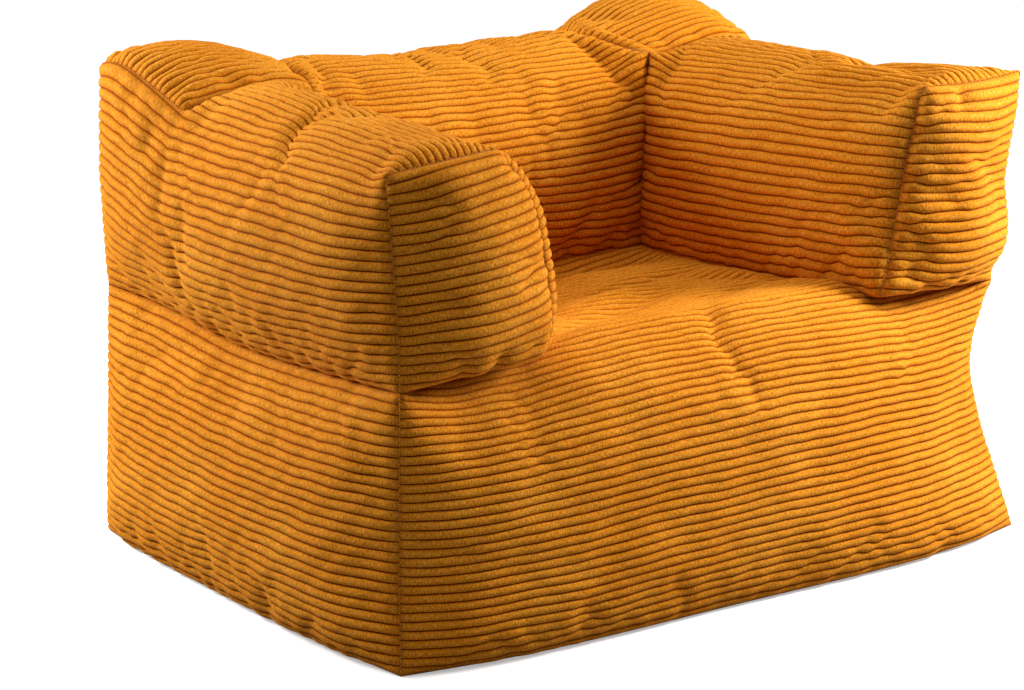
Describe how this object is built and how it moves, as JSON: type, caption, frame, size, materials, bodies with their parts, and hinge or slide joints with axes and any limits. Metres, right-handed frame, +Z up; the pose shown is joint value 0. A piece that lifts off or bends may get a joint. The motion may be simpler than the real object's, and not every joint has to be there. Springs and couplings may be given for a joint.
{
  "type": "bean bag chair",
  "caption": "Low square bean bag armchair in wide-wale corduroy: a bulging base, two full-depth arms and a backrest, filled with beads, with zips for the cover and the liner.",
  "frame": {"origin": "on the floor, at the middle of the chair's outline in X and Y", "axes": "+Z up; -Y is the front, where the sitter's legs are; +X is to the right when looking from the front towards the back"},
  "size_m": [1.07, 0.85, 0.6831],
  "materials": {
    "cover_corduroy": "amber wide-wale corduroy, soft pile with a slight sheen",
    "inner_seam_cloth": "plain woven amber cloth, matt",
    "bottom_cloth": "plain hard-wearing amber cloth, matt",
    "liner_cloth": "white non-woven cloth, matt",
    "bead_filling": "white expanded polystyrene beads",
    "zip_tape": "woven tape, matt",
    "zip_coil": "nylon coil, satin",
    "zip_metal": "painted zinc, satin",
    "liner_zip_tape": "woven tape, matt",
    "liner_zip_coil": "nylon coil, satin",
    "liner_zip_metal": "painted zinc, satin",
    "label_cloth": "white satin ribbon, blank"
  },
  "bodies": {
    "chair": {"seat_and_front_panel": "cover_corduroy", "base_left_panel": "cover_corduroy", "base_right_panel": "cover_corduroy", "base_rear_panel": "cover_corduroy", "left_arm_wrap_panel": "cover_corduroy", "left_arm_front_panel": "cover_corduroy", "left_arm_rear_panel": "cover_corduroy", "left_corner_top_panel": "cover_corduroy", "right_arm_wrap_panel": "cover_corduroy", "right_arm_front_panel": "cover_corduroy", "right_arm_rear_panel": "cover_corduroy", "right_corner_top_panel": "cover_corduroy", "back_wrap_panel": "cover_corduroy", "back_rear_panel": "cover_corduroy", "left_arm_foot_panel": "inner_seam_cloth", "right_arm_foot_panel": "inner_seam_cloth", "back_foot_panel": "inner_seam_cloth", "back_left_side_panel": "inner_seam_cloth", "back_right_side_panel": "inner_seam_cloth", "base_bottom_panel": "bottom_cloth", "base_liner": "liner_cloth", "left_arm_liner": "liner_cloth", "right_arm_liner": "liner_cloth", "back_liner": "liner_cloth", "base_filling": "bead_filling", "left_arm_filling": "bead_filling", "right_arm_filling": "bead_filling", "back_filling": "bead_filling", "cover_zip_upper_tape": "zip_tape", "cover_zip_lower_tape": "zip_tape", "liner_zip_upper_tape": "liner_zip_tape", "liner_zip_lower_tape": "liner_zip_tape", "cover_zip_upper_coil": "zip_coil", "cover_zip_lower_coil": "zip_coil", "cover_zip_end_stops": "zip_coil", "liner_zip_upper_coil": "liner_zip_coil", "liner_zip_lower_coil": "liner_zip_coil", "liner_zip_end_stops": "liner_zip_coil", "care_label": "label_cloth"},
    "cover_zip_slider": {"cover_zip_slider": "zip_metal"},
    "cover_zip_pull": {"cover_zip_pull": "zip_metal"},
    "liner_zip_slider": {"liner_zip_slider": "liner_zip_metal"}
  },
  "joints": [
    {"name": "cover_zip_slide", "type": "slide", "parent": "chair", "child": "cover_zip_slider", "axis": [-1, 0, 0], "range_m": [0, 0.786]},
    {"name": "cover_zip_pull_hinge", "type": "hinge", "parent": "cover_zip_slider", "child": "cover_zip_pull", "pos_m": [0.393, 0.41906, 0.06977], "axis": [1, 0, 0], "range_deg": [0, 170]},
    {"name": "liner_zip_slide", "type": "slide", "parent": "chair", "child": "liner_zip_slider", "axis": [-1, 0, 0], "range_m": [0, 0.586]}
  ]
}
